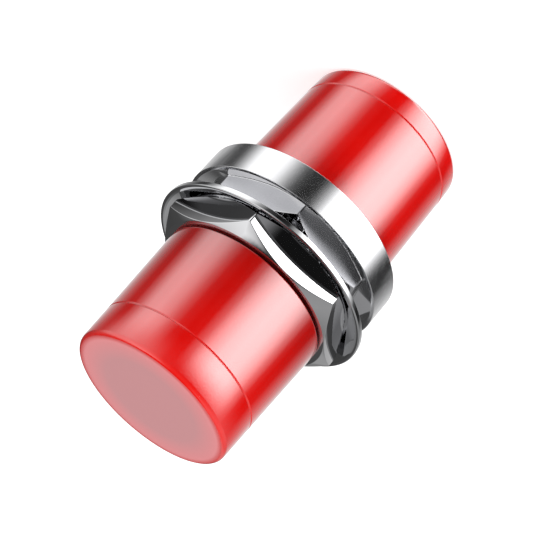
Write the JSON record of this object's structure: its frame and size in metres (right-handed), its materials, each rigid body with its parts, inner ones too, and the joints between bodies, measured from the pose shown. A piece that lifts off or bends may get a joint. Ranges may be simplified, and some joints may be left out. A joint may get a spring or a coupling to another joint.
{
  "type": "fiber optic adapter",
  "caption": "Threaded bulkhead fiber optic adapter with round flange, wrench hex, panel nut, dished lock washer and a dust cap on each end.",
  "frame": {"origin": "centre of the rear dust cap's flat closed face, on which the adapter stands", "axes": "+Z along the adapter's axis from the rear cap to the front cap; one corner of the wrench hex points to -Y, and the plug key slots open to +Y"},
  "size_m": [0.0136, 0.0136, 0.0222],
  "materials": {
    "plated_body": "polished nickel plating on turned metal",
    "plated_nut": "polished nickel plating on turned metal",
    "washer_steel": "bright plated spring steel",
    "sleeve_ceramic": "ground white ceramic",
    "red_cap_plastic": "soft moulded plastic, satin gloss"
  },
  "bodies": {
    "body": {"main_body": "plated_body", "rear_barrel": "plated_body", "alignment_sleeve": "sleeve_ceramic"},
    "washer": {"lock_washer": "washer_steel"},
    "nut": {"panel_nut": "plated_nut"},
    "front_cap": {"front_dust_cap": "red_cap_plastic"},
    "rear_cap": {"rear_dust_cap": "red_cap_plastic"}
  },
  "joints": [
    {"name": "nut_travel", "type": "slide", "parent": "body", "child": "washer", "axis": [0, 0, 1], "range_m": [0, 0.00713]},
    {"name": "nut_turn", "type": "hinge", "parent": "washer", "child": "nut", "pos_m": [0, 0, 0.01286], "axis": [0, 0, 1], "range_deg": [0, 3425]},
    {"name": "front_cap_pull", "type": "slide", "parent": "washer", "child": "front_cap", "axis": [0, 0, 1], "range_m": [0, 0.012]},
    {"name": "rear_cap_pull", "type": "slide", "parent": "body", "child": "rear_cap", "axis": [0, 0, -1], "range_m": [0, 0.012]}
  ],
  "couplings": [
    {"joint": "nut_turn", "follows": "nut_travel", "rad_per_m": 8377.6}
  ]
}
